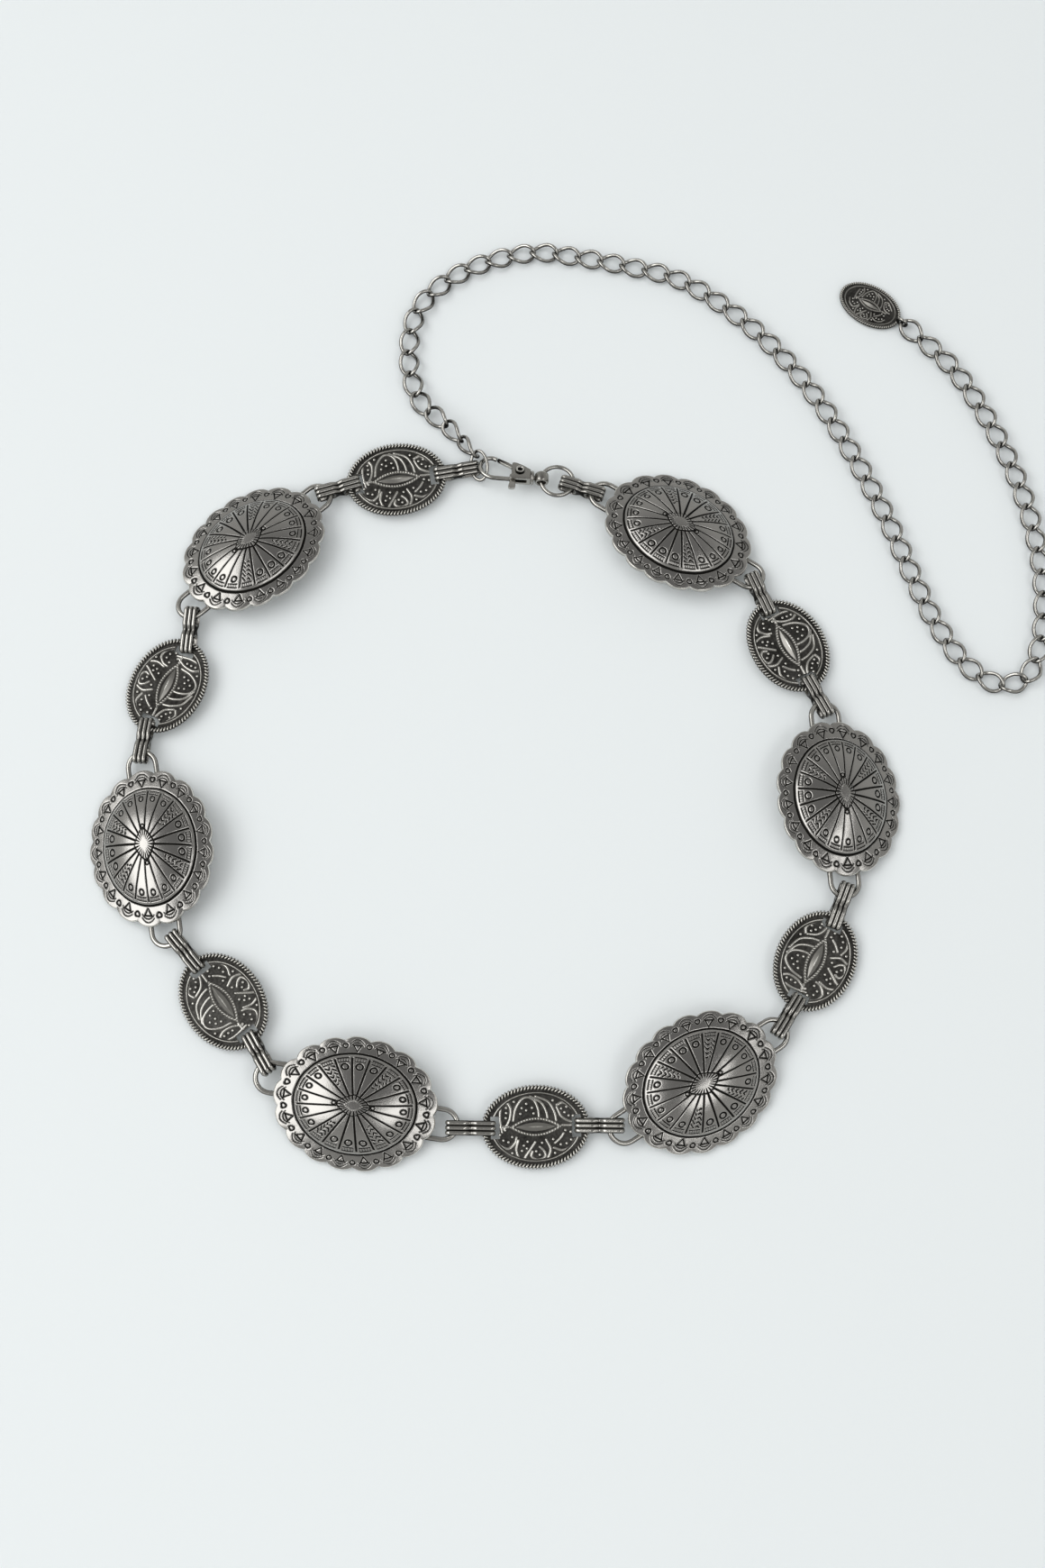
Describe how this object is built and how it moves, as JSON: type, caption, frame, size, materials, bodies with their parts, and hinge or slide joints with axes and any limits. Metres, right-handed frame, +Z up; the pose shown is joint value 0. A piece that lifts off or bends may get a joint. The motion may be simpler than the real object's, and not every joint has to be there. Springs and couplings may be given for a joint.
{
  "type": "pendant belt",
  "caption": "Metal concho chain belt: domed scalloped ovals and flat medallions on ribbed connectors, a snap hook and a chain tail with a small oval pendant.",
  "frame": {"origin": "on the surface the belt lies on, under the middle of its bounding box", "axes": "+Z up from the surface; +Y towards the snap hook's side and the chain's tail; +X to the right, towards the pendant"},
  "size_m": [0.3448, 0.3474, 0.0145],
  "materials": {
    "antique_silver": "antiqued silver-tone cast zinc alloy, dark patina in the recesses, bright worn high points",
    "dark_silver": "strongly antiqued silver-tone cast zinc alloy, near-black ground with worn raised ornament",
    "bright_silver": "lightly antiqued silver-tone plating on wire, sheet and cast findings"
  },
  "bodies": {
    "belt": {"concho_1": "antique_silver", "concho_2": "antique_silver", "concho_3": "antique_silver", "concho_4": "antique_silver", "concho_5": "antique_silver", "concho_6": "antique_silver", "medallion_a": "dark_silver", "medallion_b": "dark_silver", "medallion_c": "dark_silver", "medallion_d": "dark_silver", "medallion_e": "dark_silver", "medallion_f": "dark_silver", "pendant": "dark_silver", "end_ring": "bright_silver", "clasp_hook": "bright_silver", "clasp_rivet": "bright_silver", "clasp_swivel": "bright_silver", "swivel_ring": "bright_silver", "curb_chain": "bright_silver", "connector_1a": "bright_silver", "connector_1b": "bright_silver", "connector_2b": "bright_silver", "connector_2c": "bright_silver", "connector_3c": "bright_silver", "connector_3d": "bright_silver", "connector_4d": "bright_silver", "connector_4e": "bright_silver", "connector_5e": "bright_silver", "connector_5f": "bright_silver", "connector_6f": "bright_silver", "connector_a_ring": "bright_silver", "connector_swivel_6": "bright_silver"},
    "gate": {"clasp_gate": "bright_silver"}
  },
  "joints": [
    {"name": "gate_hinge", "type": "hinge", "parent": "belt", "child": "gate", "pos_m": [-0.0212, 0.07914, 0.00557], "axis": [0.067, 0.3388, 0.9385], "range_deg": [0, 28], "stiffness_Nm_per_rad": 0.002, "springref_deg": -17.19}
  ]
}
